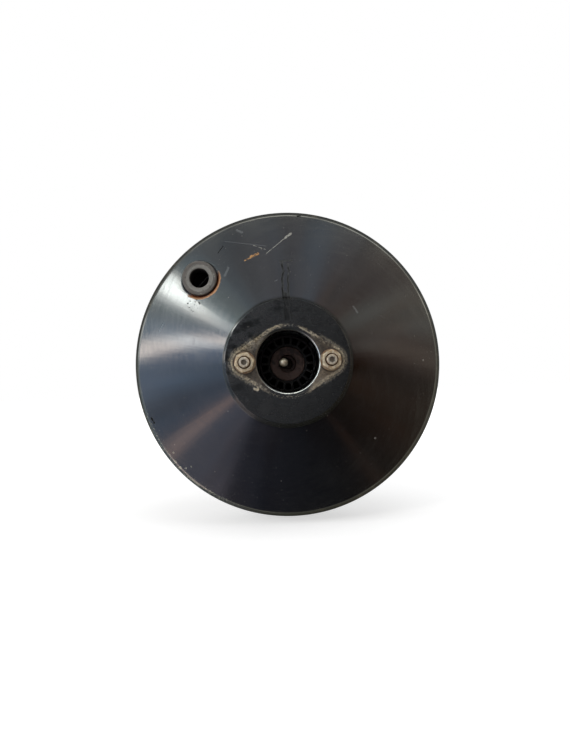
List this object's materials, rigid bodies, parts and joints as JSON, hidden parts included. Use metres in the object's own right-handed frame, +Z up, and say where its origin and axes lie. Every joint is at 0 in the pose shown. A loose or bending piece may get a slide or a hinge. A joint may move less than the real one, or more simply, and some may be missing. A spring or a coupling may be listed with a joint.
{
  "type": "vacuum brake booster",
  "caption": "Round vacuum brake booster with a conical black front shell, studded hub, vacuum grommet, sliding power piston, booted input rod and clevis.",
  "frame": {"origin": "centre of the flat face that bolts to the firewall, on the booster's axis", "axes": "+Z up as fitted in a car, the booster's axis along Y, the master cylinder's side facing -Y and the pedal's side +Y"},
  "size_m": [0.256, 0.2695, 0.256],
  "materials": {
    "black_paint": "gloss stoving enamel, scratched and stained",
    "zinc_fastener": "zinc plate, dulled and rust stained",
    "bare_steel": "plain pressed steel",
    "spring_steel": "oiled spring steel",
    "rod_steel": "worn bright steel",
    "oxidised_steel": "brown oxide and grease",
    "black_plastic": "glass filled moulding",
    "white_plastic": "plain moulding",
    "grommet_rubber": "aged grey rubber with light scuffs",
    "black_rubber": "matt moulded rubber",
    "filter_felt": "compressed felt"
  },
  "bodies": {
    "shell": {"front_shell": "black_paint", "rear_shell": "black_paint", "master_cylinder_studs": "zinc_fastener", "master_cylinder_nuts": "zinc_fastener", "front_reinforcing_plate": "bare_steel", "front_spring_seat": "bare_steel", "firewall_studs": "zinc_fastener", "rear_reinforcing_plate": "bare_steel", "vacuum_grommet": "grommet_rubber", "diaphragm": "black_rubber", "rear_seal": "black_rubber", "rear_guide_bush": "white_plastic", "seal_retainer": "bare_steel", "dust_boot": "black_rubber"},
    "power_piston": {"valve_body": "black_plastic", "diaphragm_plate": "bare_steel", "plate_lock_ring": "bare_steel", "return_spring": "spring_steel", "stop_key": "bare_steel", "poppet_valve": "black_rubber", "poppet_retainer": "bare_steel", "poppet_spring": "spring_steel", "rod_return_spring": "spring_steel", "filter_retainer": "black_plastic", "air_filter": "filter_felt", "reaction_disc": "black_rubber", "reaction_piston": "oxidised_steel"},
    "plunger": {"valve_plunger": "bare_steel"},
    "input_linkage": {"input_rod": "zinc_fastener", "rod_spring_seat": "bare_steel", "lock_nut": "zinc_fastener", "clevis": "zinc_fastener"},
    "output_rod": {"output_rod": "rod_steel"}
  },
  "joints": [
    {"name": "power_piston_slide", "type": "slide", "parent": "shell", "child": "power_piston", "axis": [0, -1, 0], "range_m": [0, 0.032], "stiffness_N_per_m": 4500, "springref_m": -0.03, "deforming": ["return_spring", "diaphragm", "dust_boot"]},
    {"name": "plunger_slide", "type": "slide", "parent": "power_piston", "child": "plunger", "axis": [0, -1, 0], "range_m": [0, 0.002], "stiffness_N_per_m": 6000, "springref_m": -0.0065, "deforming": ["reaction_disc", "rod_return_spring"]},
    {"name": "input_rod_tilt", "type": "hinge", "parent": "plunger", "child": "input_linkage", "pos_m": [0, -0.014, 0], "axis": [1, 0, 0], "range_deg": [-3, 3], "stiffness_Nm_per_rad": 12, "deforming": ["rod_return_spring", "air_filter"]},
    {"name": "output_rod_swing", "type": "hinge", "parent": "power_piston", "child": "output_rod", "pos_m": [0, -0.0692, 0], "axis": [0, 0, 1], "range_deg": [0, 9.2]}
  ]
}
